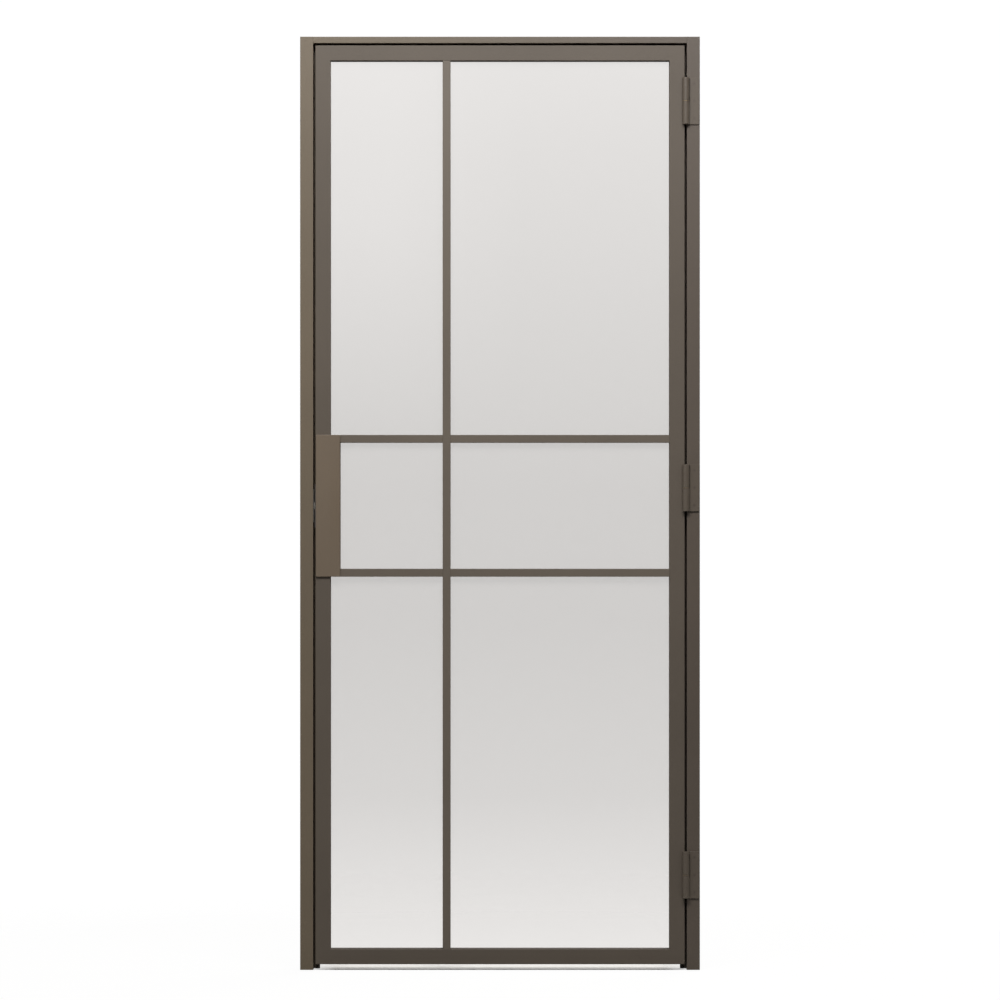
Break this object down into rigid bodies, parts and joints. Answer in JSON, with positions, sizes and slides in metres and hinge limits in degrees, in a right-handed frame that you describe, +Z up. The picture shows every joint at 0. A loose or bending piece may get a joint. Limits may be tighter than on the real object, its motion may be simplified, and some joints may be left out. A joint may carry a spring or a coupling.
{
  "type": "framed glass door",
  "caption": "Hinged glass door in its own slim metal frame, with an off-centre upright bar, cross bars, a flat pull plate and barrel hinges.",
  "frame": {"origin": "floor level, middle of the frame's width and of the frame profile's depth", "axes": "+Z up, +X towards the hinge jamb, +Y from the front (hinge barrel) face through to the back"},
  "size_m": [0.92, 0.0765, 2.148],
  "materials": {
    "frame_paint": "satin",
    "leaf_paint": "satin",
    "hinge_paint": "satin",
    "plate_paint": "satin",
    "glass": "polished",
    "rubber": "matte",
    "cap_plastic": "matte",
    "roller_nylon": "satin",
    "brass": "satin",
    "aluminium": "satin",
    "stainless": "satin",
    "zinc_steel": "satin"
  },
  "bodies": {
    "frame": {"hinge_jamb": "frame_paint", "lock_jamb": "frame_paint", "frame_head": "frame_paint", "frame_corner_blocks": "aluminium", "frame_corner_screws": "zinc_steel", "hinge_jamb_seal": "rubber", "lock_jamb_seal": "rubber", "head_seal": "rubber", "fixing_caps": "cap_plastic", "strike_plate": "stainless", "strike_screws": "zinc_steel", "lower_hinge_frame_half": "hinge_paint", "middle_hinge_frame_half": "hinge_paint", "upper_hinge_frame_half": "hinge_paint", "hinge_pins": "zinc_steel", "hinge_washers": "brass", "frame_hinge_screws": "zinc_steel", "frame_hinge_backings": "zinc_steel"},
    "leaf": {"lower_hinge_leaf_half": "hinge_paint", "middle_hinge_leaf_half": "hinge_paint", "upper_hinge_leaf_half": "hinge_paint", "leaf_hinge_screws": "zinc_steel", "leaf_hinge_backings": "zinc_steel", "hinge_stile": "leaf_paint", "lock_stile": "leaf_paint", "top_rail": "leaf_paint", "bottom_rail": "leaf_paint", "leaf_corner_cleats": "aluminium", "upright_bar": "leaf_paint", "lower_cross_bar_lock_side": "leaf_paint", "lower_cross_bar_hinge_side": "leaf_paint", "upper_cross_bar_lock_side": "leaf_paint", "upper_cross_bar_hinge_side": "leaf_paint", "bar_spigots": "aluminium", "bar_spigot_screws": "zinc_steel", "bottom_small_pane": "glass", "middle_small_pane": "glass", "top_small_pane": "glass", "bottom_large_pane": "glass", "middle_large_pane": "glass", "top_large_pane": "glass", "small_pane_gaskets": "rubber", "large_pane_gaskets": "rubber", "bottom_small_beads": "leaf_paint", "middle_small_beads": "leaf_paint", "top_small_beads": "leaf_paint", "bottom_large_beads": "leaf_paint", "middle_large_beads": "leaf_paint", "top_large_beads": "leaf_paint", "front_pull_plate": "plate_paint", "back_pull_plate": "plate_paint", "pull_plate_screws": "zinc_steel", "pull_plate_sleeves": "zinc_steel", "catch_case": "stainless", "catch_screws": "zinc_steel", "catch_spring": "zinc_steel"},
    "catch_carriage": {"catch_carriage": "zinc_steel", "catch_roller_axle": "zinc_steel"},
    "catch_roller": {"catch_roller": "roller_nylon"}
  },
  "joints": [
    {"name": "leaf_swing", "type": "hinge", "parent": "frame", "child": "leaf", "pos_m": [0.4275, -0.0385, 1.1095], "axis": [0, 0, 1], "range_deg": [0, 170]},
    {"name": "catch_slide", "type": "slide", "parent": "leaf", "child": "catch_carriage", "axis": [1, 0, 0], "range_m": [0, 0.003], "stiffness_N_per_m": 3000, "springref_m": -0.004, "deforming": ["catch_spring"]},
    {"name": "roller_spin", "type": "hinge", "parent": "catch_carriage", "child": "catch_roller", "pos_m": [-0.424, -0.01, 1.06825], "axis": [0, 0, 1], "continuous": true}
  ]
}
